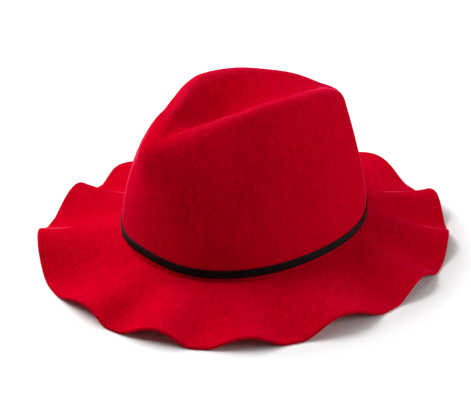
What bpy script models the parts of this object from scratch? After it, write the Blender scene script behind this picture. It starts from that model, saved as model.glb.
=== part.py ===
"""A felt fedora: a centre-creased crown and a rippled brim blocked in one piece, with a narrow hat band.

Metres, +Z up. The hat rests on the plane z = 0 with its front towards -Y and its back towards +Y.
Lengths called inside are taken on the felt's inner and under skin, which the hat block gives.
"""
import math

import bpy
from mathutils import Vector

# Felt
FELT_WALL = 0.0025

# Head opening, inside the felt
HEAD_LENGTH = 0.1955
HEAD_WIDTH = 0.1640
HEAD_SQUARENESS = 2.2

# Brim, whose root is the underside at the foot of the crown
BRIM_REACH = 0.0672
ROOT_HEIGHT = 0.0180
BACK_LIFT = 0.0024
SIDE_DROP = 0.0012
BRIM_SAG = 1.3
WAVE_RISE = 0.0132
WAVE_START = 0.12
TROUGH_PRESS = 0.0014
CROWN_FILLET = 0.0042

# Crown, with the ridge loop that the crease leaves round the top
CROWN_HEIGHT = 0.1150
RIDGE_LENGTH = 0.1640
RIDGE_SETBACK = 0.0015
RIDGE_WIDTH = 0.071
RIDGE_FRONT_ROUND = 0.003
RIDGE_BACK_ROUND = 0.0094
FOLD_ROUND_SIDE = 0.0045
FOLD_ROUND_FRONT = 0.0120
FOLD_ROUND_BACK = 0.0071
WALL_BOW_FRONT = 1.98
WALL_BOW_BACK = 1.7
CREASE_DEPTH = 0.024
CREASE_POWER = 1.10

# Hat band
BAND_WIDTH = 0.0066
BAND_THICKNESS = 0.0008
BAND_GAP = 0.0003
BAND_RISE = 0.0027
BAND_RISE_BEARING_DEG = 274
BAND_RISE_NARROWNESS = 14

# Waves of the brim's edge, one row for each crest, counted from the camera side towards the back
CREST_COLUMNS = ("bearing_deg", "rise_share", "trough_share")
CREST_ROWS = (
    (22, 0.94, 0.47),
    (47, 0.83, 0.47),
    (67, 1.30, 0.43),
    (99, 1.26, 0.53),
    (143, 0.90, 0.46),
    (188, 1.06, 0.48),
    (207, 1.27, 0.46),
    (239, 1.45, 0.47),
    (278, 0.91, 0.43),
    (300, 0.97, 0.45),
    (322, 0.82, 0.45),
    (348, 1.12, 0.58),
)

# Ridge and crease, one row for each section from front to back, as shares of the sizes above
RIDGE_COLUMNS = ("along_share", "width_share", "height_share", "crease_share")
RIDGE_ROWS = (
    (0.00, 0.040, 0.813, 0.00),
    (0.05, 0.200, 0.834, 0.07),
    (0.09, 0.310, 0.857, 0.17),
    (0.13, 0.450, 0.889, 0.31),
    (0.19, 0.580, 0.911, 0.52),
    (0.25, 0.730, 0.944, 0.75),
    (0.33, 0.910, 0.981, 0.96),
    (0.42, 1.000, 1.000, 1.00),
    (0.60, 0.960, 0.981, 0.66),
    (0.75, 0.785, 0.936, 0.38),
    (0.88, 0.560, 0.878, 0.17),
    (1.00, 0.270, 0.790, 0.00),
)

# Mesh rows, each list running up the hat but the last, which runs across the crease
STATIONS = 96
BRIM_SHARES = (1.0, 0.93, 0.84, 0.70, 0.55, 0.40, 0.24)
FILLET_SHARES = (0.0, 0.33, 0.67)
WALL_SHARES = (0.0, 0.10, 0.26, 0.44, 0.62, 0.80)
FOLD_SHARES = (0.0, 0.33, 0.67, 1.0)
ACROSS_SHARES = (-0.92, -0.80, -0.62, -0.42, -0.20, 0.0, 0.20, 0.42, 0.62, 0.80, 0.92)
TIP_STATIONS = 3


def column(rows, names, name):
    """Returns one named column of a table."""
    place = names.index(name)
    return [row[place] for row in rows]


def smooth_column(rows, names, name, at):
    """Reads a named column at a share along, by a smooth curve through the table's rows."""
    xs = column(rows, names, names[0])
    ys = column(rows, names, name)
    at = min(max(at, xs[0]), xs[-1])
    step = next(i for i in range(len(xs) - 1) if at <= xs[i + 1])
    width = xs[step + 1] - xs[step]
    t = (at - xs[step]) / width

    def slope(i):
        low, high = max(i - 1, 0), min(i + 1, len(xs) - 1)
        return (ys[high] - ys[low]) / (xs[high] - xs[low]) * width

    rise = ys[step + 1] - ys[step]
    start, end = slope(step), slope(step + 1)
    return ys[step] + t * start + t * t * (3 * rise - 2 * start - end) + t ** 3 * (start + end - 2 * rise)


def station_angle(index):
    """Angle of a station round the hat from +X, the first at the front."""
    return math.radians(360 * index / STATIONS - 90)


def head_point(angle):
    """Returns the head opening's plan point and its outward direction."""
    half = Vector((HEAD_WIDTH / 2, HEAD_LENGTH / 2, 0))
    c, s = math.cos(angle), math.sin(angle)
    radius = (abs(c) ** HEAD_SQUARENESS + abs(s) ** HEAD_SQUARENESS) ** (-1 / HEAD_SQUARENESS)
    point = Vector((half.x * radius * c, half.y * radius * s, 0))
    power = HEAD_SQUARENESS - 1
    normal = Vector((
        math.copysign(abs(radius * c) ** power / half.x, c),
        math.copysign(abs(radius * s) ** power / half.y, s),
        0,
    ))
    return point, normal.normalized()


def wave_share(angle):
    """Height share of the brim's edge wave at an angle: its row's rise on a crest and 0 in a trough."""
    degrees = math.degrees(angle) % 360
    first = CREST_ROWS[0][0]
    if degrees < first:
        degrees += 360
    for index, (crest, rise, trough_share) in enumerate(CREST_ROWS):
        last = index == len(CREST_ROWS) - 1
        next_crest = first + 360 if last else CREST_ROWS[index + 1][0]
        next_rise = CREST_ROWS[0][1] if last else CREST_ROWS[index + 1][1]
        if degrees <= next_crest:
            break
    trough = crest + trough_share * (next_crest - crest)
    if degrees < trough:
        return rise * (1 + math.cos(math.pi * (degrees - crest) / (trough - crest))) / 2
    return next_rise * (1 + math.cos(math.pi * (next_crest - degrees) / (next_crest - trough))) / 2


def root_height(angle):
    """Height of the brim's root, which rises towards the back and drops a little at one side."""
    return ROOT_HEIGHT + BACK_LIFT * math.sin(angle) - SIDE_DROP * math.cos(angle)


def brim_point(angle, share):
    """Point of the brim's underside at a share of its width, pressed flat where it rests."""
    head, outward = head_point(angle)
    slope = root_height(angle) * (1 - share) ** BRIM_SAG
    growth = max(0.0, (share - WAVE_START) / (1 - WAVE_START))
    wave = WAVE_RISE * wave_share(angle) * growth
    point = head + outward * share * (FELT_WALL + BRIM_REACH)
    point.z = max(0.0, slope + wave - TROUGH_PRESS * share)
    return point


def rounded(start, corner, end, share):
    """Point of a smooth curve that cuts a corner between two points."""
    return start * (1 - share) ** 2 + corner * 2 * share * (1 - share) + end * share ** 2


def wall_foot(angle):
    """Point where the crown's wall leaves the fillet at the brim's root."""
    point, _ = head_point(angle)
    point.z = root_height(angle) + CROWN_FILLET
    return point


def fillet_point(angle, share):
    """Point of the round between the brim and the crown's wall."""
    corner, _ = head_point(angle)
    corner.z = root_height(angle)
    outer = brim_point(angle, CROWN_FILLET / (FELT_WALL + BRIM_REACH))
    return rounded(outer, corner, wall_foot(angle), share)


def ridge_half_width(along):
    """Half width between the two ridges at a share of their length."""
    return RIDGE_WIDTH / 2 * smooth_column(RIDGE_ROWS, RIDGE_COLUMNS, "width_share", along)


def top_height(x, along):
    """Height of the crown's top, which the crease sinks between the ridges."""
    height = CROWN_HEIGHT * smooth_column(RIDGE_ROWS, RIDGE_COLUMNS, "height_share", along)
    depth = CREASE_DEPTH * smooth_column(RIDGE_ROWS, RIDGE_COLUMNS, "crease_share", along)
    across = min(1.0, abs(x) / ridge_half_width(along))
    return ROOT_HEIGHT + height - depth * (1 - across ** 2) ** CREASE_POWER


def closing_share(distance, length):
    """Share of the ridges' width at a distance from an end of their loop, which closes over a length."""
    rest = max(0.0, 1 - distance / length)
    return math.sqrt(1 - rest * rest)


def ridge_point(angle):
    """Point of the loop round the crease that a station's wall runs up to."""
    along = (1 + math.sin(angle)) / 2
    front = closing_share(along * RIDGE_LENGTH, RIDGE_FRONT_ROUND)
    back = closing_share((1 - along) * RIDGE_LENGTH, RIDGE_BACK_ROUND)
    x = math.copysign(ridge_half_width(along) * front * back, math.cos(angle))
    return Vector((x, RIDGE_SETBACK + RIDGE_LENGTH * (along - 0.5), top_height(x, along)))


def fold_corner(angle):
    """Sharp corner that the fold over the ridge rounds off."""
    ridge = ridge_point(angle)
    foot = wall_foot(angle)
    end_round = FOLD_ROUND_BACK if math.sin(angle) > 0 else FOLD_ROUND_FRONT
    reach = FOLD_ROUND_SIDE + (end_round - FOLD_ROUND_SIDE) * abs(math.sin(angle)) ** 3
    outward = Vector((foot.x - ridge.x, foot.y - ridge.y, 0))
    return ridge + outward.normalized() * min(reach, outward.length), reach


def wall_point(angle, share):
    """Point of the crown's wall at a share of the height from its foot to the fold's corner."""
    foot = wall_foot(angle)
    corner, _ = fold_corner(angle)
    frontness = (1 - math.sin(angle)) / 2
    bow = WALL_BOW_BACK + (WALL_BOW_FRONT - WALL_BOW_BACK) * frontness
    point = foot.lerp(corner, share ** bow)
    point.z = foot.z + share * (corner.z - foot.z)
    return point


def fold_start_share(angle):
    """Share of the wall's height at which the fold over the ridge starts."""
    corner, reach = fold_corner(angle)
    return 1 - reach / (corner.z - wall_foot(angle).z)


def fold_point(angle, share):
    """Point of the round fold between the wall and the ridge."""
    corner, _ = fold_corner(angle)
    return rounded(wall_point(angle, fold_start_share(angle)), corner, ridge_point(angle), share)


def crease_row(index):
    """Points across the crease, between a station on the ridge loop and the one that faces it."""
    angle = station_angle(index)
    ridge = ridge_point(angle)
    along = (1 + math.sin(angle)) / 2
    return [Vector((ridge.x * share, ridge.y, top_height(ridge.x * share, along))) for share in ACROSS_SHARES]


def felt_rings():
    """Rings of the felt's inner skin, from the brim's edge up to the ridge loop."""
    angles = [station_angle(index) for index in range(STATIONS)]
    rings = [[brim_point(angle, share) for angle in angles] for share in BRIM_SHARES]
    rings += [[fillet_point(angle, share) for angle in angles] for share in FILLET_SHARES]
    rings += [[wall_point(angle, share * fold_start_share(angle)) for angle in angles] for share in WALL_SHARES]
    rings += [[fold_point(angle, share) for angle in angles] for share in FOLD_SHARES]
    return rings


def row_stations():
    """Stations on one side that have a row across the crease, from front to back."""
    return range(TIP_STATIONS, STATIONS // 2 - TIP_STATIONS + 1)


def ring_faces(ring_count):
    """Faces between each ring of vertices and the next."""
    faces = []
    for ring in range(ring_count - 1):
        low, high = ring * STATIONS, (ring + 1) * STATIONS
        for index in range(STATIONS):
            after = (index + 1) % STATIONS
            faces.append((low + index, low + after, high + after, high + index))
    return faces


def crease_faces(ring_count):
    """Faces between the rows across the crease, and one that closes each tip of the ridge loop."""
    loop, start, width = (ring_count - 1) * STATIONS, ring_count * STATIONS, len(ACROSS_SHARES)
    rows = []
    for row, index in enumerate(row_stations()):
        inner = list(range(start + row * width, start + (row + 1) * width))
        rows.append([loop + STATIONS - index] + inner + [loop + index])
    faces = []
    for here, there in zip(rows, rows[1:]):
        faces += [(here[k], here[k + 1], there[k + 1], there[k]) for k in range(width + 1)]
    tip = range(1 - TIP_STATIONS, TIP_STATIONS)
    front = [loop + step % STATIONS for step in tip]
    back = [loop + STATIONS // 2 + step for step in tip]
    faces.append(rows[0][:1] + front + rows[0][:0:-1])
    faces.append(rows[-1][-1:] + back + rows[-1][:-1])
    return faces


def add_shell(name, points, faces, thickness, material, collection):
    """Makes an open surface and thickens it outwards."""
    mesh = bpy.data.meshes.new(name)
    mesh.from_pydata(points, [], faces)
    mesh.shade_smooth()
    mesh.materials.append(material)
    shell = bpy.data.objects.new(name, mesh)
    collection.objects.link(shell)
    solidify = shell.modifiers.new("thickness", "SOLIDIFY")
    solidify.thickness = thickness
    solidify.offset = 1
    solidify.use_even_offset = True
    return shell


def make_material(name, colour, roughness):
    """Makes a plain material of one colour."""
    material = bpy.data.materials.new(name)
    material.use_nodes = True
    shader = material.node_tree.nodes["Principled BSDF"]
    shader.inputs["Base Color"].default_value = (*colour, 1)
    shader.inputs["Roughness"].default_value = roughness
    shader.inputs["Metallic"].default_value = 0
    return material


def make_felt_body(collection):
    """Makes the crown and brim, one blocked piece of felt."""
    rings = felt_rings()
    rows = [crease_row(index) for index in row_stations()]
    points = [point for line in rings + rows for point in line]
    faces = ring_faces(len(rings)) + crease_faces(len(rings))
    red = make_material("red felt", (0.60, 0.004, 0.018), 0.92)
    return add_shell("felt_body", points, faces, FELT_WALL, red, collection)


def band_rise(angle):
    """Height of the band's lower edge above the wall's foot, where it lies but for its rise in front."""
    turn = angle - math.radians(BAND_RISE_BEARING_DEG)
    return BAND_RISE * max(0.0, math.cos(turn)) ** BAND_RISE_NARROWNESS


def band_point(angle, height):
    """Point of the band's inner face at a height above its lower edge."""
    height += band_rise(angle)
    foot = wall_foot(angle)
    corner, _ = fold_corner(angle)
    point = wall_point(angle, height / (corner.z - foot.z))
    _, outward = head_point(angle)
    return point + outward * (FELT_WALL + BAND_GAP)


def make_hat_band(collection):
    """Makes the flat strip round the foot of the crown."""
    heights = (0.0, BAND_WIDTH)
    angles = [station_angle(index) for index in range(STATIONS)]
    points = [band_point(angle, height) for height in heights for angle in angles]
    black = make_material("black band", (0.008, 0.007, 0.007), 0.75)
    return add_shell("hat_band", points, ring_faces(len(heights)), BAND_THICKNESS, black, collection)


def main():
    """Builds the hat in a collection of its own."""
    for old in list(bpy.data.objects):
        bpy.data.objects.remove(old, do_unlink=True)
    collection = bpy.data.collections.new("fedora")
    bpy.context.scene.collection.children.link(collection)
    hat = bpy.data.objects.new("hat", None)
    collection.objects.link(hat)
    for piece in (make_felt_body(collection), make_hat_band(collection)):
        piece.parent = hat


main()
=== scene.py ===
"""The looks of a red felt fedora with a rippled brim and a narrow black band.

Metres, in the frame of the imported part: the hat rests on z = 0 with its front towards -Y.
"""
import logging
import math
from collections.abc import Iterator
from contextlib import contextmanager
from dataclasses import dataclass
from enum import Enum
from functools import lru_cache
from typing import ClassVar

import bpy
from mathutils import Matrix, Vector, noise

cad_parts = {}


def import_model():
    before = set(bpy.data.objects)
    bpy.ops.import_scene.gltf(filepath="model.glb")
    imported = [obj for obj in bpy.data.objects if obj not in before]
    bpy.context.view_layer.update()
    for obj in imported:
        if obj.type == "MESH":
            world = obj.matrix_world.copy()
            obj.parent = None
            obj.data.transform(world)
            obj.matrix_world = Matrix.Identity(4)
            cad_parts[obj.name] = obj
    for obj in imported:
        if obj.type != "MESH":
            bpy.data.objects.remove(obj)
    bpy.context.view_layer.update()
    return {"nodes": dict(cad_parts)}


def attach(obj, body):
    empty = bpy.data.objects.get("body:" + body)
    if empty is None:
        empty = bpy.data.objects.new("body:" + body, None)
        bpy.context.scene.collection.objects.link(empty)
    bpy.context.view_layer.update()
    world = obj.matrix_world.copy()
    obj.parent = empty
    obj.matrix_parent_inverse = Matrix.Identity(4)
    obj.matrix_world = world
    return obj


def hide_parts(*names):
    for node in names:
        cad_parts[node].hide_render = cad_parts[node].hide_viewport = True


log = logging.getLogger("fedora")

ROOT_BODY = "root"

Colour = tuple[float, float, float, float]


class Slot(Enum):
    """Material slots of the part's record."""

    FELT = "red_felt"
    BAND = "black_band"


class Zone(Enum):
    """Zones of the felt, from the brim's edge up to the ridges."""

    BRIM = "brim"
    FILLET = "fillet"
    WALL = "wall"
    FOLD = "fold"


class RidgeColumn(Enum):
    """Columns of the ridge's table that are read along its length."""

    WIDTH = "width"
    HEIGHT = "height"
    CREASE = "crease"


# The two tables of the hat's form


@dataclass(frozen=True)
class Crest:
    """One ripple of the brim's edge: its crest's bearing and height, and where the trough after it lies."""

    bearing_deg: float
    rise_share: float
    trough_share: float


@dataclass(frozen=True)
class RidgeSection:
    """One section across the crown's top, as shares of the ridge loop's sizes."""

    along: float
    width: float
    height: float
    crease: float


CRESTS = (
    Crest(22, 0.94, 0.47),
    Crest(47, 0.83, 0.47),
    Crest(67, 1.30, 0.43),
    Crest(99, 1.26, 0.53),
    Crest(143, 0.90, 0.46),
    Crest(188, 1.06, 0.48),
    Crest(207, 1.27, 0.46),
    Crest(239, 1.45, 0.47),
    Crest(278, 0.91, 0.43),
    Crest(300, 0.97, 0.45),
    Crest(322, 0.82, 0.45),
    Crest(348, 1.12, 0.58),
)

RIDGE = (
    RidgeSection(0.00, 0.040, 0.813, 0.00),
    RidgeSection(0.05, 0.200, 0.834, 0.07),
    RidgeSection(0.09, 0.310, 0.857, 0.17),
    RidgeSection(0.13, 0.450, 0.889, 0.31),
    RidgeSection(0.19, 0.580, 0.911, 0.52),
    RidgeSection(0.25, 0.730, 0.944, 0.75),
    RidgeSection(0.33, 0.910, 0.981, 0.96),
    RidgeSection(0.42, 1.000, 1.000, 1.00),
    RidgeSection(0.60, 0.960, 0.981, 0.66),
    RidgeSection(0.75, 0.785, 0.936, 0.38),
    RidgeSection(0.88, 0.560, 0.878, 0.17),
    RidgeSection(1.00, 0.270, 0.790, 0.00),
)


# Curves and shares


def smooth_between(places: list[float], values: list[float], at: float) -> float:
    """Reads a value by a smooth curve through a table's rows.

    Args:
        places: Where each row stands, rising.
        values: The value of each row.
        at: Where the value is wanted.

    Returns:
        The value there, held at the table's ends.
    """
    at = min(max(at, places[0]), places[-1])
    step = next(i for i in range(len(places) - 1) if at <= places[i + 1])
    width = places[step + 1] - places[step]
    t = (at - places[step]) / width

    def slope(i: int) -> float:
        """Slope of the curve at a row, over the width of the step."""
        low, high = max(i - 1, 0), min(i + 1, len(places) - 1)
        return (values[high] - values[low]) / (places[high] - places[low]) * width

    rise = values[step + 1] - values[step]
    start, end = slope(step), slope(step + 1)
    square = 3 * rise - 2 * start - end
    cube = start + end - 2 * rise
    return values[step] + t * start + t * t * square + t ** 3 * cube


def rounded(start: Vector, corner: Vector, end: Vector, share: float) -> Vector:
    """Point of a smooth curve that cuts a corner between two points."""
    return start * (1 - share) ** 2 + corner * 2 * share * (1 - share) + end * share ** 2


def even_shares(first: float, last: float, count: int) -> list[float]:
    """Shares spread evenly from a first to a last, both kept."""
    return [first + (last - first) * index / (count - 1) for index in range(count)]


def smooth_step(low: float, high: float, value: float) -> float:
    """Eases from 0 to 1 as a value goes from low to high."""
    share = min(max((value - low) / (high - low), 0.0), 1.0)
    return share * share * (3 - 2 * share)


# The form of the hat


@dataclass(frozen=True)
class HatBlock:
    """The block that gives the felt's inner and under skin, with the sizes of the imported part.

    A bearing is an angle in radians from +X, seen from above.
    """

    felt_wall: float = 0.0025
    head_length: float = 0.1955
    head_width: float = 0.1640
    head_squareness: float = 2.2
    brim_reach: float = 0.0672
    root_height: float = 0.0180
    back_lift: float = 0.0024
    side_drop: float = 0.0012
    brim_sag: float = 1.3
    wave_rise: float = 0.0132
    wave_start: float = 0.12
    trough_press: float = 0.0014
    crown_fillet: float = 0.0042
    crown_height: float = 0.1150
    ridge_length: float = 0.1640
    ridge_setback: float = 0.0015
    ridge_width: float = 0.071
    ridge_front_round: float = 0.003
    ridge_back_round: float = 0.0094
    fold_round_side: float = 0.0045
    fold_round_front: float = 0.0120
    fold_round_back: float = 0.0071
    fold_round_power: int = 3
    wall_bow_front: float = 1.98
    wall_bow_back: float = 1.7
    crease_depth: float = 0.024
    crease_power: float = 1.10

    def head_point(self, bearing: float) -> tuple[Vector, Vector]:
        """Finds a point of the head opening, which is an oval with slightly full corners.

        Args:
            bearing: Where on the oval.

        Returns:
            The point in plan, and the oval's outward direction there.
        """
        half = Vector((self.head_width / 2, self.head_length / 2, 0))
        c, s = math.cos(bearing), math.sin(bearing)
        fullness = abs(c) ** self.head_squareness + abs(s) ** self.head_squareness
        radius = fullness ** (-1 / self.head_squareness)
        power = self.head_squareness - 1
        outward = Vector((
            math.copysign(abs(radius * c) ** power / half.x, c),
            math.copysign(abs(radius * s) ** power / half.y, s),
            0,
        ))
        return Vector((half.x * radius * c, half.y * radius * s, 0)), outward.normalized()

    def wave_share(self, bearing: float) -> float:
        """Reads the wave of the brim's edge.

        Args:
            bearing: Where on the edge.

        Returns:
            Its height as a share of the wave's rise: the row's own on a crest, 0 in a trough.
        """
        first = CRESTS[0].bearing_deg
        degrees = (math.degrees(bearing) - first) % 360 + first
        index = max(i for i, row in enumerate(CRESTS) if row.bearing_deg <= degrees)
        here, after = CRESTS[index], CRESTS[(index + 1) % len(CRESTS)]
        span = (after.bearing_deg - here.bearing_deg) % 360
        trough = here.bearing_deg + here.trough_share * span
        if degrees < trough:
            turn = (degrees - here.bearing_deg) / (trough - here.bearing_deg)
            return here.rise_share * (1 + math.cos(math.pi * turn)) / 2
        end = here.bearing_deg + span
        return after.rise_share * (1 + math.cos(math.pi * (end - degrees) / (end - trough))) / 2

    def root_level(self, bearing: float) -> float:
        """Height of the brim's root, which rises towards the back and drops a little at one side."""
        return self.root_height + self.back_lift * math.sin(bearing) - self.side_drop * math.cos(bearing)

    def brim_point(self, bearing: float, share: float) -> Vector:
        """Finds a point of the brim's underside, which is pressed flat where it rests.

        Args:
            bearing: Where round the hat.
            share: Share of the brim's width, from its root to its edge.

        Returns:
            The point.
        """
        point, outward = self.head_point(bearing)
        slope = self.root_level(bearing) * (1 - share) ** self.brim_sag
        growth = max(0.0, (share - self.wave_start) / (1 - self.wave_start))
        wave = self.wave_rise * self.wave_share(bearing) * growth
        point += outward * share * (self.felt_wall + self.brim_reach)
        point.z = max(0.0, slope + wave - self.trough_press * share)
        return point

    def fillet_share(self) -> float:
        """Share of the brim's width at which the round at its root ends."""
        return self.crown_fillet / (self.felt_wall + self.brim_reach)

    def wall_foot(self, bearing: float) -> Vector:
        """Finds where the crown's wall leaves the round at the brim's root.

        Args:
            bearing: Where round the hat.

        Returns:
            The point.
        """
        point, _ = self.head_point(bearing)
        point.z = self.root_level(bearing) + self.crown_fillet
        return point

    def fillet_point(self, bearing: float, share: float) -> Vector:
        """Finds a point of the round between the brim and the crown's wall.

        Args:
            bearing: Where round the hat.
            share: Share of the round, from the brim up to the wall.

        Returns:
            The point.
        """
        corner, _ = self.head_point(bearing)
        corner.z = self.root_level(bearing)
        outer = self.brim_point(bearing, self.fillet_share())
        return rounded(outer, corner, self.wall_foot(bearing), share)

    def ridge_read(self, column: RidgeColumn, along: float) -> float:
        """Reads one column of the ridge's sections at a share of its length."""
        places = [section.along for section in RIDGE]
        return smooth_between(places, [getattr(section, column.value) for section in RIDGE], along)

    def ridge_half_width(self, along: float) -> float:
        """Half width between the two ridges at a share of their length."""
        return self.ridge_width / 2 * self.ridge_read(RidgeColumn.WIDTH, along)

    def ridge_share(self, y: float) -> float:
        """Share of the ridges' length at a place along them."""
        return (y - self.ridge_setback) / self.ridge_length + 0.5

    def top_level(self, x: float, along: float) -> float:
        """Reads the height of the crown's top, which the crease sinks between the ridges.

        Args:
            x: Place across the crown.
            along: Share of the ridges' length.

        Returns:
            The height.
        """
        height = self.crown_height * self.ridge_read(RidgeColumn.HEIGHT, along)
        depth = self.crease_depth * self.ridge_read(RidgeColumn.CREASE, along)
        across = min(1.0, abs(x) / self.ridge_half_width(along))
        return self.root_height + height - depth * (1 - across ** 2) ** self.crease_power

    def crease_level(self, x: float, y: float) -> float:
        """Height of the crease at a place between the ridges."""
        return self.top_level(x, self.ridge_share(y))

    @lru_cache(maxsize=None)
    def ridge_point(self, bearing: float) -> Vector:
        """Finds a point of the loop round the crease, which the wall runs up to.

        Args:
            bearing: Bearing of the wall below it.

        Returns:
            The point.
        """
        along = (1 + math.sin(bearing)) / 2

        def closing(distance: float, length: float) -> float:
            """Share of the ridges' width near an end of their loop."""
            return math.sqrt(1 - max(0.0, 1 - distance / length) ** 2)

        front = closing(along * self.ridge_length, self.ridge_front_round)
        back = closing((1 - along) * self.ridge_length, self.ridge_back_round)
        x = math.copysign(self.ridge_half_width(along) * front * back, math.cos(bearing))
        y = self.ridge_setback + self.ridge_length * (along - 0.5)
        return Vector((x, y, self.top_level(x, along)))

    @lru_cache(maxsize=None)
    def fold_corner(self, bearing: float) -> tuple[Vector, float]:
        """Finds the sharp corner that the fold over the ridge rounds off.

        Args:
            bearing: Where round the hat.

        Returns:
            The corner, and how far the fold reaches from it.
        """
        ridge, foot = self.ridge_point(bearing), self.wall_foot(bearing)
        end_round = self.fold_round_back if math.sin(bearing) > 0 else self.fold_round_front
        endness = abs(math.sin(bearing)) ** self.fold_round_power
        reach = self.fold_round_side + (end_round - self.fold_round_side) * endness
        outward = Vector((foot.x - ridge.x, foot.y - ridge.y, 0))
        return ridge + outward.normalized() * min(reach, outward.length), reach

    def wall_point(self, bearing: float, share: float) -> Vector:
        """Finds a point of the crown's wall, which bows out on its way up.

        Args:
            bearing: Where round the hat.
            share: Share of the height from the wall's foot to the fold's corner.

        Returns:
            The point.
        """
        foot, (corner, _) = self.wall_foot(bearing), self.fold_corner(bearing)
        frontness = (1 - math.sin(bearing)) / 2
        bow = self.wall_bow_back + (self.wall_bow_front - self.wall_bow_back) * frontness
        point = foot.lerp(corner, share ** bow)
        point.z = foot.z + share * (corner.z - foot.z)
        return point

    def fold_start(self, bearing: float) -> float:
        """Share of the wall's height at which the fold over the ridge starts."""
        corner, reach = self.fold_corner(bearing)
        return 1 - reach / (corner.z - self.wall_foot(bearing).z)

    def fold_point(self, bearing: float, share: float) -> Vector:
        """Point of the round fold between the wall and the ridge."""
        start = self.wall_point(bearing, self.fold_start(bearing))
        return rounded(start, self.fold_corner(bearing)[0], self.ridge_point(bearing), share)


# Steps of modelling that both pieces use


def clear_selection() -> None:
    """Deselects everything, since an operator acts on all that is selected."""
    bpy.ops.object.select_all(action="DESELECT")


@contextmanager
def edit_mode() -> Iterator[None]:
    """Opens the active piece in edit mode, with its selection as it was, and closes it again."""
    bpy.ops.object.mode_set(mode="EDIT")
    yield
    bpy.ops.object.mode_set(mode="OBJECT")


def apply_modifiers(piece: bpy.types.Object) -> None:
    """Applies every modifier of a piece, in order.

    Args:
        piece: The piece, which is the active one afterwards.
    """
    clear_selection()
    piece.select_set(True)
    bpy.context.view_layer.objects.active = piece
    for name in [modifier.name for modifier in piece.modifiers]:
        bpy.ops.object.modifier_apply(modifier=name)


def pull_tube(name: str, stations: int, rings: int, radius: float, step: float) -> bpy.types.Object:
    """Pulls a straight open tube up from a circle, ring by ring.

    Args:
        name: Name of the new object.
        stations: Vertices round the tube.
        rings: Rings of vertices up the tube.
        radius: The tube's radius.
        step: Height from one ring to the next.

    Returns:
        The tube, in object mode, with its last ring still selected in its mesh.
    """
    clear_selection()
    bpy.ops.mesh.primitive_circle_add(
        vertices=stations, radius=radius, fill_type="NOTHING", location=(0, 0, 0))
    tube = bpy.context.object
    tube.name = name
    tube.data.name = name
    with edit_mode():
        bpy.ops.mesh.select_mode(type="EDGE")
        bpy.ops.mesh.select_all(action="SELECT")
        for _ in range(rings - 1):
            bpy.ops.mesh.extrude_edges_move(TRANSFORM_OT_translate={"value": (0, 0, step)})
    return tube


def tube_vertices(
    tube: bpy.types.Object, stations: int, step: float,
) -> Iterator[tuple[bpy.types.MeshVertex, float, int]]:
    """Goes through a straight tube's vertices, whose stations are counted from the hat's front.

    Args:
        tube: The tube, as it was pulled.
        stations: Vertices round the tube.
        step: Height from one ring to the next.

    Yields:
        Each vertex, with its bearing and the number of its ring.
    """
    for vertex in tube.data.vertices:
        turn = (math.atan2(vertex.co.y, vertex.co.x) + math.pi / 2) / (2 * math.pi)
        station = round(turn * stations) % stations
        yield vertex, math.radians(360 * station / stations - 90), round(vertex.co.z / step)


def face_outwards(piece: bpy.types.Object) -> None:
    """Turns the faces of an open skin so that they look away from a point under the hat.

    Args:
        piece: The skin, which is the active piece.
    """
    below = Vector((0, 0, -1))
    with edit_mode():
        bpy.ops.mesh.select_all(action="SELECT")
        bpy.ops.mesh.normals_make_consistent(inside=False)
    if sum(face.area * face.normal.dot(face.center - below) for face in piece.data.polygons) < 0:
        with edit_mode():
            bpy.ops.mesh.flip_normals()


def group_weight(piece: bpy.types.Object, name: str, vertex: bpy.types.MeshVertex) -> float:
    """Returns a vertex's weight in a named group, or 0 where it isn't in it."""
    index = piece.vertex_groups[name].index
    return sum(item.weight for item in vertex.groups if item.group == index)


# The two pieces


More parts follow.
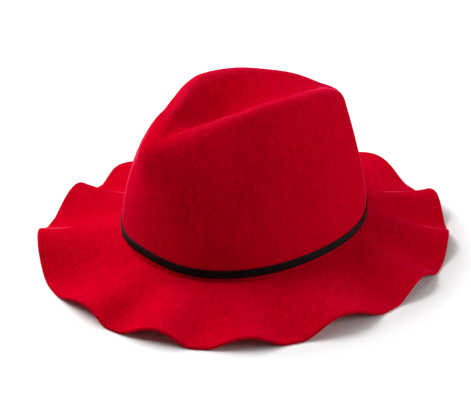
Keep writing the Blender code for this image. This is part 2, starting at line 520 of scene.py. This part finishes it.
@dataclass
class FeltBody:
    """Crown and brim, blocked from one hood of felt."""

    TUCK: ClassVar[str] = "tuck"
    # Vertex group and attribute of the painted highlight along the ridges.
    HIGHLIGHT_GROUP: ClassVar[str] = "wear_and_highlight"
    HIGHLIGHT_ATTRIBUTE: ClassVar[str] = "painted_ridge_highlight"

    block: HatBlock
    stations: int = 360
    hood_step: float = 0.002
    brim_rings: int = 30
    fillet_rings: int = 10
    wall_rings: int = 30
    fold_rings: int = 9
    crease_rows: int = 90
    crease_turn: int = 45
    ease_strength: float = 0.5
    ease_passes: int = 2
    hand_relief: float = 0.0007
    hand_size: float = 0.038
    relief_start: float = 0.010
    relief_full: float = 0.035
    cut_round: float = 0.0007
    cut_round_segments: int = 3
    cut_angle_deg: float = 65
    cut_ceiling: float = 0.05
    tuck_depth: float = 0.0010
    tuck_place: float = 0.5
    tuck_reach: float = 0.30
    # Where the painted ridge highlight comes in on the fold and in the crease, and how it fades towards the
    # crease's front.
    highlight_from_outside: float = 0.35
    highlight_from_inside: float = 0.85
    highlight_fade: float = 0.26

    def ring_places(self) -> list[tuple[Zone, float]]:
        """Lists where the hood's rings lie, from the brim's edge up to the ridge loop.

        Returns:
            The zone of each ring, and its share of that zone.
        """
        foot = self.block.fillet_share()
        places = [(Zone.BRIM, share) for share in even_shares(1.0, foot, self.brim_rings)[:-1]]
        places += [(Zone.FILLET, share) for share in even_shares(0.0, 1.0, self.fillet_rings)[:-1]]
        places += [(Zone.WALL, share) for share in even_shares(0.0, 1.0, self.wall_rings)[:-1]]
        places += [(Zone.FOLD, share) for share in even_shares(0.0, 1.0, self.fold_rings)]
        return places

    def block_point(self, zone: Zone, share: float, bearing: float) -> Vector:
        """Finds the point of the block that a ring of the hood is laid on.

        Args:
            zone: The ring's zone.
            share: The ring's share of its zone.
            bearing: Where round the hat.

        Returns:
            The point.
        """
        block = self.block
        if zone is Zone.BRIM:
            return block.brim_point(bearing, share)
        if zone is Zone.FILLET:
            return block.fillet_point(bearing, share)
        if zone is Zone.WALL:
            return block.wall_point(bearing, share * block.fold_start(bearing))
        return block.fold_point(bearing, share)

    def ridge_highlight_weight(self, place: Vector, closeness: float) -> float:
        """Strength of the painted highlight near a ridge, which fades out towards the crease's front."""
        return closeness * smooth_step(0.0, self.highlight_fade, self.block.ridge_share(place.y))

    def fill_crease(self, hood: bpy.types.Object) -> None:
        """Fills the ridge loop with a grid that sinks into the crease.

        Args:
            hood: The hood, with the ridge loop still selected in its mesh.
        """
        block, known = self.block, len(hood.data.vertices)
        wear_and_highlight = hood.vertex_groups[self.HIGHLIGHT_GROUP]
        with edit_mode():
            bpy.ops.mesh.fill_grid(span=self.crease_rows, offset=self.crease_turn)
        for vertex in hood.data.vertices[known:]:
            vertex.co.z = block.crease_level(vertex.co.x, vertex.co.y)
            # Painted ridge highlight, rising towards the ridges.
            across = abs(vertex.co.x) / block.ridge_half_width(block.ridge_share(vertex.co.y))
            closeness = smooth_step(self.highlight_from_inside, 1.0, across)
            wear_and_highlight.add([vertex.index], self.ridge_highlight_weight(vertex.co, closeness), "REPLACE")

    def blocked_hood(self) -> bpy.types.Object:
        """Pulls a hood of felt as a tube and lays it over the block.

        Returns:
            The hood, an open skin without thickness.
        """
        places = self.ring_places()
        hood = pull_tube("felt_hat", self.stations, len(places), self.block.head_width, self.hood_step)
        tuck, wear_and_highlight = (hood.vertex_groups.new(name=name) for name in (self.TUCK, self.HIGHLIGHT_GROUP))
        for vertex, bearing, ring in tube_vertices(hood, self.stations, self.hood_step):
            zone, share = places[ring]
            vertex.co = self.block_point(zone, share, bearing)
            if zone is Zone.FILLET:
                weight = 1 - smooth_step(0.0, self.tuck_reach, abs(share - self.tuck_place))
                tuck.add([vertex.index], weight, "REPLACE")
            elif zone is Zone.FOLD:
                # Painted ridge highlight over the fold, rising towards the ridge.
                closeness = smooth_step(self.highlight_from_outside, 1.0, share)
                wear_and_highlight.add([vertex.index], self.ridge_highlight_weight(vertex.co, closeness), "REPLACE")
        self.fill_crease(hood)
        face_outwards(hood)
        return hood

    def settle(self, hood: bpy.types.Object) -> None:
        """Eases the felt over the block's corners and gives it the unevenness of handwork.

        Args:
            hood: The blocked hood.
        """
        ease = hood.modifiers.new("ease", "SMOOTH")
        ease.factor = self.ease_strength
        ease.iterations = self.ease_passes
        apply_modifiers(hood)
        root = self.block.root_height
        rim = self.block.head_width / 2 + self.block.crown_fillet
        normals = [vertex.normal.copy() for vertex in hood.data.vertices]
        for vertex, normal in zip(hood.data.vertices, normals):
            up = vertex.co.z - root
            out = math.hypot(vertex.co.x, vertex.co.y) - rim
            free = smooth_step(self.relief_start, self.relief_full, max(up, out))
            place = vertex.co + normal * noise.noise(vertex.co / self.hand_size) * self.hand_relief * free
            place.z = max(place.z, 0.0)
            vertex.co = place

    def thicken(self, hood: bpy.types.Object) -> None:
        """Gives the felt its wall and softens the cut edge of the brim.

        Args:
            hood: The settled hood.
        """
        wall = hood.modifiers.new("wall", "SOLIDIFY")
        wall.thickness = self.block.felt_wall
        wall.offset = 1
        apply_modifiers(hood)
        with edit_mode():
            bpy.ops.mesh.select_all(action="DESELECT")
            bpy.ops.mesh.edges_select_sharp(sharpness=math.radians(self.cut_angle_deg))
        points = hood.data.vertices
        for edge in hood.data.edges:
            edge.select = edge.select and points[edge.vertices[0]].co.z < self.cut_ceiling
        with edit_mode():
            bpy.ops.mesh.bevel(
                offset=self.cut_round, segments=self.cut_round_segments, affect="EDGES")
        hood.data.shade_smooth()

    def press_tuck(self, hood: bpy.types.Object) -> None:
        """Presses the fold between brim and crown into the outer skin, whose faces look up there.

        Args:
            hood: The thickened hood.
        """
        moves = []
        for vertex in hood.data.vertices:
            weight = group_weight(hood, self.TUCK, vertex)
            if weight > 0 and vertex.normal.z > 0:
                moves.append((vertex, vertex.normal * weight * self.tuck_depth))
        for vertex, move in moves:
            vertex.co -= move

    def paint_ridge_highlight(self, hood: bpy.types.Object) -> None:
        """Writes the strength of the painted ridge highlight as an attribute, which the felt's finish
        reads.

        Args:
            hood: The hood, with its last vertices in place.
        """
        weights = [group_weight(hood, self.HIGHLIGHT_GROUP, vertex) for vertex in hood.data.vertices]
        ridge_highlight = hood.data.attributes.new(self.HIGHLIGHT_ATTRIBUTE, "FLOAT", "POINT")
        ridge_highlight.data.foreach_set("value", weights)

    def build(self) -> bpy.types.Object:
        """Builds the felt body.

        Returns:
            The finished piece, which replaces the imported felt.
        """
        hood = self.blocked_hood()
        self.settle(hood)
        self.thicken(hood)
        self.press_tuck(hood)
        # Paints a highlight along the ridges into the felt's colour.
        self.paint_ridge_highlight(hood)
        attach(hood, ROOT_BODY)
        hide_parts("felt_body")
        return hood


@dataclass
class HatBand:
    """The flat strip round the foot of the crown."""

    block: HatBlock
    width: float = 0.0066
    thickness: float = 0.0009
    gap: float = 0.0001
    rise: float = 0.0027
    rise_bearing_deg: float = 274
    rise_narrowness: float = 14
    dome: float = 0.00015
    edge_round: float = 0.00025
    edge_round_segments: int = 3
    edge_angle_deg: float = 50
    stations: int = 360
    rings: int = 7
    strip_step: float = 0.002

    def lower_edge(self, bearing: float) -> float:
        """Height of the lower edge above the wall's foot, where the band lies but for its rise in front."""
        turn = bearing - math.radians(self.rise_bearing_deg)
        return self.rise * max(0.0, math.cos(turn)) ** self.rise_narrowness

    def strip_point(self, bearing: float, across: float) -> Vector:
        """Finds a point of the band's inner face.

        Args:
            bearing: Where round the hat.
            across: Share of the band's width, from its lower edge.

        Returns:
            The point.
        """
        block = self.block
        corner, _ = block.fold_corner(bearing)
        height = self.lower_edge(bearing) + across * self.width
        point = block.wall_point(bearing, height / (corner.z - block.wall_foot(bearing).z))
        _, outward = block.head_point(bearing)
        dome = self.dome * (1 - (2 * across - 1) ** 2)
        return point + outward * (block.felt_wall + self.gap + dome)

    def build(self) -> bpy.types.Object:
        """Builds the band.

        Returns:
            The finished piece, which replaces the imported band.
        """
        strip = pull_tube("band_strip", self.stations, self.rings, self.block.head_width, self.strip_step)
        for vertex, bearing, ring in tube_vertices(strip, self.stations, self.strip_step):
            vertex.co = self.strip_point(bearing, ring / (self.rings - 1))
        face_outwards(strip)
        body = strip.modifiers.new("body", "SOLIDIFY")
        body.thickness = self.thickness
        body.offset = 1
        edge = strip.modifiers.new("edge", "BEVEL")
        edge.limit_method = "ANGLE"
        edge.angle_limit = math.radians(self.edge_angle_deg)
        edge.width = self.edge_round
        edge.segments = self.edge_round_segments
        apply_modifiers(strip)
        strip.data.shade_smooth()
        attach(strip, ROOT_BODY)
        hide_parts("hat_band")
        return strip


# Finishes


class NodeBench:
    """Adds shader nodes to a tree and wires them up, so that a finish reads as a list of steps."""

    # Where most of a noise's values lie
    NOISE_LOW = 0.3
    NOISE_HIGH = 0.7

    # Places of the colour sockets on a Mix node
    COLOUR_A = 6
    COLOUR_B = 7
    COLOUR_RESULT = 2

    def __init__(self, tree: bpy.types.NodeTree) -> None:
        """Starts on a node tree."""
        self.tree = tree

    def add(self, kind: str, **settings: object) -> bpy.types.Node:
        """Adds a node and sets its properties.

        Args:
            kind: The node's type name, without its prefix.
            settings: Properties of the node.

        Returns:
            The new node.
        """
        node = self.tree.nodes.new("ShaderNode" + kind)
        for name, value in settings.items():
            setattr(node, name, value)
        return node

    def feed(self, socket: bpy.types.NodeSocket, value: object) -> None:
        """Feeds a socket from another node's output, or sets it to a plain value.

        Args:
            socket: The input.
            value: An output socket, or a number, colour or vector.
        """
        if isinstance(value, bpy.types.NodeSocket):
            self.tree.links.new(value, socket)
        else:
            socket.default_value = value

    def feed_all(self, node: bpy.types.Node, values: dict[str, object]) -> None:
        """Feeds inputs of a node by their names."""
        for name, value in values.items():
            self.feed(node.inputs[name], value)

    def object_place(self) -> bpy.types.NodeSocket:
        """Adds the surface's place in the piece's own coordinates."""
        return self.add("TexCoord").outputs["Object"]

    def maths(self, operation: str, first: object, second: object) -> bpy.types.NodeSocket:
        """Adds a Math node.

        Args:
            operation: What it does.
            first: Its first value or socket.
            second: Its second value or socket.

        Returns:
            Its output.
        """
        node = self.add("Math", operation=operation)
        self.feed(node.inputs[0], first)
        self.feed(node.inputs[1], second)
        return node.outputs[0]

    def noise(
        self, vector: object, size: object, detail: float, roughness: float = 0.5,
    ) -> bpy.types.NodeSocket:
        """Adds a noise.

        Args:
            vector: Its coordinates.
            size: Size of its lumps in metres.
            detail: How many finer layers it has.
            roughness: How strong the finer layers are.

        Returns:
            Its value.
        """
        node = self.add("TexNoise", noise_dimensions="3D")
        self.feed_all(node, {
            "Vector": vector,
            "Scale": self.maths("DIVIDE", 1.0, size),
            "Detail": detail,
            "Roughness": roughness,
        })
        return node.outputs["Fac"]

    def stretched(self, vector: object, scale: tuple[float, float, float]) -> bpy.types.NodeSocket:
        """Scales a pattern's coordinates along each axis.

        Args:
            vector: The coordinates.
            scale: Factor along each axis, below 1 for a longer pattern.

        Returns:
            The scaled coordinates.
        """
        node = self.add("Mapping")
        self.feed_all(node, {"Vector": vector, "Scale": scale})
        return node.outputs["Vector"]

    def spread(
        self, value: object, low: float = 0.0, high: float = 1.0,
        start: float = NOISE_LOW, end: float = NOISE_HIGH,
    ) -> bpy.types.NodeSocket:
        """Eases from a low to a high value over a range.

        Args:
            value: What runs through the range.
            low: The result up to the range's start.
            high: The result from the range's end.
            start: Start of the range.
            end: End of the range.

        Returns:
            The eased value.
        """
        node = self.add("MapRange", interpolation_type="SMOOTHSTEP")
        self.feed_all(node, {
            "Value": value,
            "From Min": start,
            "From Max": end,
            "To Min": low,
            "To Max": high,
        })
        return node.outputs["Result"]

    def blend(self, factor: object, first: object, second: object) -> bpy.types.NodeSocket:
        """Blends two colours.

        Args:
            factor: Share of the second colour.
            first: The first colour.
            second: The second colour.

        Returns:
            The blended colour.
        """
        node = self.add("Mix", data_type="RGBA")
        self.feed(node.inputs["Factor"], factor)
        self.feed(node.inputs[self.COLOUR_A], first)
        self.feed(node.inputs[self.COLOUR_B], second)
        return node.outputs[self.COLOUR_RESULT]


def start_material(name: str) -> tuple[bpy.types.Material, NodeBench, bpy.types.Node]:
    """Starts a material.

    Args:
        name: Its name.

    Returns:
        The material, its bench and its Principled shader.
    """
    material = bpy.data.materials.new(name)
    material.use_nodes = True
    return material, NodeBench(material.node_tree), material.node_tree.nodes["Principled BSDF"]


@dataclass(frozen=True)
class FibreField:
    """Clumps and finer fibres over a surface, as the node group that both finishes use."""

    NAME: ClassVar[str] = "fibre field"

    clump_detail: float = 3.0
    clump_roughness: float = 0.6
    clump_height: float = 0.35
    fibre_detail: float = 2.0
    fibre_roughness: float = 0.7

    def make(self) -> bpy.types.NodeTree:
        """Makes the group.

        Returns:
            The group, with a tone from 0 to 1 and a height.
        """
        tree = bpy.data.node_groups.new(self.NAME, "ShaderNodeTree")
        tree.interface.new_socket(name="Vector", in_out="INPUT", socket_type="NodeSocketVector")
        for in_out, names in (("INPUT", ("Clump Size", "Fibre Size", "Fibre Share")),
                              ("OUTPUT", ("Tone", "Height"))):
            for name in names:
                tree.interface.new_socket(name=name, in_out=in_out, socket_type="NodeSocketFloat")
        bench = NodeBench(tree)
        given = tree.nodes.new("NodeGroupInput").outputs
        result = tree.nodes.new("NodeGroupOutput")
        clumps = bench.spread(
            bench.noise(given["Vector"], given["Clump Size"], self.clump_detail, self.clump_roughness))
        fibres = bench.spread(
            bench.noise(given["Vector"], given["Fibre Size"], self.fibre_detail, self.fibre_roughness))
        clump_share = bench.maths("SUBTRACT", 1.0, given["Fibre Share"])
        clump_tone = bench.maths("MULTIPLY", clumps, clump_share)
        fibre_tone = bench.maths("MULTIPLY", fibres, given["Fibre Share"])
        clump_height = bench.maths("MULTIPLY", clumps, self.clump_height)
        bench.feed(result.inputs["Tone"], bench.maths("ADD", clump_tone, fibre_tone))
        bench.feed(result.inputs["Height"], bench.maths("ADD", clump_height, fibres))
        return tree

    def group(self) -> bpy.types.NodeTree:
        """Returns the group, which is made the first time."""
        return bpy.data.node_groups.get(self.NAME) or self.make()


@dataclass(frozen=True)
class FibreCover:
    """A finish's own clumps and fibres: their sizes, the fibres' share of the tone, and the relief."""

    clump_size: float
    fibre_size: float
    fibre_share: float
    relief: float
    relief_strength: float

    def lay(self, bench: NodeBench, shader: bpy.types.Node) -> bpy.types.NodeSocket:
        """Lays clumps and fibres over a material and raises their relief.

        Args:
            bench: The material's bench.
            shader: The material's shader, whose normal the relief feeds.

        Returns:
            The tone of the clumps and fibres, from 0 to 1.
        """
        fibres = bench.add("Group", node_tree=FibreField().group())
        bench.feed_all(fibres, {
            "Vector": bench.object_place(),
            "Clump Size": self.clump_size,
            "Fibre Size": self.fibre_size,
            "Fibre Share": self.fibre_share,
        })
        bump = bench.add("Bump")
        bench.feed_all(bump, {
            "Height": fibres.outputs["Height"],
            "Distance": self.relief,
            "Strength": self.relief_strength,
        })
        bench.feed(shader.inputs["Normal"], bump.outputs["Normal"])
        return fibres.outputs["Tone"]


@dataclass(frozen=True)
class FeltFinish:
    """Pressed wool felt, short-napped: mottled and matt, with a painted pale sheen highlight in its colour
    where the surface is seen edge on.
    """

    deep: Colour = (0.44, 0.0, 0.0075, 1)
    bright: Colour = (0.70, 0.0, 0.0175, 1)
    # Painted highlight along the ridges, a paler pink.
    ridge_highlight_colour: Colour = (0.84, 0.006, 0.052, 1)
    # Painted sheen highlight: the pale pink that the felt's colour turns to where its surface is seen edge
    # on.
    painted_rim_sheen: Colour = (0.84, 0.035, 0.090, 1)
    fibres: FibreCover = FibreCover(
        clump_size=0.0030, fibre_size=0.0015, fibre_share=0.66, relief=0.0004, relief_strength=0.8)
    fibre_part: float = 0.60
    streak_part: float = 0.22
    streak_size: float = 0.006
    streak_stretch: tuple[float, float, float] = (1, 1, 0.12)
    cloud_part: float = 0.18
    cloud_size: float = 0.045
    pattern_detail: float = 2.0
    # Share of the painted ridge highlight where its weight is full.
    ridge_highlight_strength: float = 0.45
    # Facing values over which the painted sheen highlight comes in.
    rim_sheen_start: float = 0.86
    rim_sheen_full: float = 1.0
    roughness: float = 0.95
    sheen_weight: float = 0.08
    sheen_roughness: float = 0.30
    sheen_tint: Colour = (0.8, 0.04, 0.65, 1)

    def mottling(self, bench: NodeBench, fibres: object) -> bpy.types.NodeSocket:
        """Adds streaks down the wall and wide clouds to the fibres' tone.

        Args:
            bench: The material's bench.
            fibres: The fibres' tone.

        Returns:
            The felt's tone, from 0 for its deep to 1 for its bright colour.
        """
        place = bench.object_place()
        down = bench.stretched(place, self.streak_stretch)
        streaks = bench.noise(down, self.streak_size, self.pattern_detail)
        clouds = bench.noise(place, self.cloud_size, self.pattern_detail)
        tone = bench.maths("MULTIPLY", fibres, self.fibre_part)
        for pattern, part in ((streaks, self.streak_part), (clouds, self.cloud_part)):
            tone = bench.maths("ADD", tone, bench.maths("MULTIPLY", bench.spread(pattern), part))
        return tone

    def material(self) -> bpy.types.Material:
        """Makes the felt's material.

        Returns:
            The material.
        """
        material, bench, shader = start_material("red wool felt")
        tone = self.mottling(bench, self.fibres.lay(bench, shader))
        felt = bench.blend(tone, self.deep, self.bright)
        # Painted highlight: the felt's colour pales along the ridges by the attribute that its body writes.
        ridge_highlight = bench.add("Attribute", attribute_name=FeltBody.HIGHLIGHT_ATTRIBUTE).outputs["Fac"]
        felt = bench.blend(bench.maths("MULTIPLY", ridge_highlight, self.ridge_highlight_strength), felt, self.ridge_highlight_colour)
        # Painted sheen highlight: the base colour pales towards the rim colour as the surface turns edge
        # on.
        facing = bench.add("LayerWeight").outputs["Facing"]
        rim_sheen_mask = bench.spread(facing, start=self.rim_sheen_start, end=self.rim_sheen_full)
        bench.feed_all(shader, {
            "Base Color": bench.blend(rim_sheen_mask, felt, self.painted_rim_sheen),
            "Roughness": self.roughness,
            "Specular IOR Level": 0.0,
            "Sheen Weight": self.sheen_weight,
            "Sheen Roughness": self.sheen_roughness,
            "Sheen Tint": self.sheen_tint,
        })
        return material


@dataclass(frozen=True)
class BandFinish:
    """Matt black strap leather, finely grained."""

    deep: Colour = (0.0010, 0.0008, 0.0008, 1)
    # The strap's own paler rubbed tone, spread at random by the grain.
    wear_and_highlight: Colour = (0.0040, 0.0032, 0.0032, 1)
    grain: FibreCover = FibreCover(
        clump_size=0.0012, fibre_size=0.0004, fibre_share=0.5, relief=0.0001, relief_strength=0.5)
    roughness_low: float = 0.50
    roughness_high: float = 0.68
    specular: float = 0.12

    def material(self) -> bpy.types.Material:
        """Makes the band's material, which is smoother where it is rubbed paler.

        Returns:
            The material.
        """
        material, bench, shader = start_material("black strap")
        tone = self.grain.lay(bench, shader)
        bench.feed_all(shader, {
            "Base Color": bench.blend(tone, self.deep, self.wear_and_highlight),
            "Roughness": bench.spread(tone, self.roughness_high, self.roughness_low),
            "Specular IOR Level": self.specular,
        })
        return material


# The studio


@dataclass(frozen=True)
class Lamp:
    """A soft round light that faces the hat."""

    name: str
    bearing_deg: float
    elevation_deg: float
    power: float
    distance: float = 1.6
    size: float = 0.9

    def hang(self) -> None:
        """Hangs the light in the studio."""
        data = bpy.data.lights.new(self.name, "AREA")
        data.shape = "DISK"
        data.size = self.size
        data.energy = self.power
        lamp = bpy.data.objects.new(self.name, data)
        bpy.context.scene.collection.objects.link(lamp)
        bearing, elevation = math.radians(self.bearing_deg), math.radians(self.elevation_deg)
        level = math.cos(elevation)
        lamp.location = self.distance * Vector(
            (math.cos(bearing) * level, math.sin(bearing) * level, math.sin(elevation)))
        lamp.rotation_euler = (-lamp.location).to_track_quat("-Z", "Y").to_euler()


@dataclass(frozen=True)
class Studio:
    """A white table, a pale surround, soft lights and the camera."""

    floor_size: float = 8.0
    floor_colour: Colour = (0.97, 0.97, 0.97, 1)
    floor_bounce: Colour = (0.70, 0.70, 0.70, 1)
    near_glow: float = 0.30
    near_start: float = 0.158
    near_full: float = 0.205
    far_glow: float = 0.95
    far_start: float = 0.5
    far_full: float = 1.9
    surround_colour: Colour = (1, 1, 1, 1)
    surround: float = 0.08
    backdrop: float = 0.92
    camera_place: tuple[float, float, float] = (0.7955, -0.6442, 0.5791)
    camera_aim: tuple[float, float, float] = (-0.01545, 0.00235, 0.02385)
    lens_mm: float = 111.6
    sensor_mm: float = 36.0
    lamps: tuple[Lamp, ...] = (
        Lamp("low key", 180, 12, 11.5),
        Lamp("side key", 180, 50, 9.3),
        Lamp("high key", 225, 50, 16.2),
        Lamp("top", 200, 88, 5.3, size=1.6),
        Lamp("fill", 45, 12, 15.3),
    )

    def lay_floor(self) -> None:
        """Lays the table top, which looks whiter than the light that it throws on the hat."""
        clear_selection()
        bpy.ops.mesh.primitive_plane_add(size=self.floor_size, location=(0, 0, 0))
        floor = bpy.context.object
        floor.name = "table_top"
        material, bench, shader = start_material("white table")
        seen = bench.add("LightPath").outputs["Is Camera Ray"]
        length = bench.add("VectorMath", operation="LENGTH")
        bench.feed(length.inputs[0], bench.object_place())
        away = length.outputs["Value"]
        near = bench.spread(away, high=self.near_glow, start=self.near_start, end=self.near_full)
        far = bench.spread(away, high=self.far_glow, start=self.far_start, end=self.far_full)
        bench.feed_all(shader, {
            "Base Color": bench.blend(seen, self.floor_bounce, self.floor_colour),
            "Emission Strength": bench.maths("MULTIPLY", seen, bench.maths("ADD", near, far)),
            "Roughness": 1.0,
            "Specular IOR Level": 0.0,
        })
        floor.data.materials.append(material)

    def light(self) -> None:
        """Sets the surround, a white backdrop that throws little light, and hangs the lights."""
        world = bpy.data.worlds.new("surround")
        world.use_nodes = True
        bench = NodeBench(world.node_tree)
        seen = bench.add("LightPath").outputs["Is Camera Ray"]
        bench.feed_all(world.node_tree.nodes["Background"], {
            "Color": self.surround_colour,
            "Strength": bench.maths("ADD", self.surround, bench.maths("MULTIPLY", seen, self.backdrop)),
        })
        bpy.context.scene.world = world
        for lamp in self.lamps:
            lamp.hang()

    def aim_camera(self) -> None:
        """Places the camera at the photograph's angle."""
        data = bpy.data.cameras.new("camera")
        data.lens = self.lens_mm
        data.sensor_width = self.sensor_mm
        camera = bpy.data.objects.new("camera", data)
        bpy.context.scene.collection.objects.link(camera)
        camera.location = self.camera_place
        sight = Vector(self.camera_aim) - camera.location
        camera.rotation_euler = sight.to_track_quat("-Z", "Y").to_euler()
        bpy.context.scene.camera = camera

    def set_up(self) -> None:
        """Sets up the whole studio."""
        self.lay_floor()
        self.light()
        self.aim_camera()
        bpy.context.scene.view_settings.view_transform = "Standard"


# The whole hat


def main() -> None:
    """Builds and dresses the hat."""
    logging.basicConfig(level=logging.INFO, format="%(message)s")
    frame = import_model()
    log.info("packed: %s", ", ".join(sorted(frame["nodes"])))
    Studio().set_up()
    block = HatBlock()
    for maker, finish in ((FeltBody(block), FeltFinish()), (HatBand(block), BandFinish())):
        piece = maker.build()
        piece.data.materials.clear()
        piece.data.materials.append(finish.material())
        log.info("%s: %d faces", piece.name, len(piece.data.polygons))


if __name__ == "__main__":
    main()
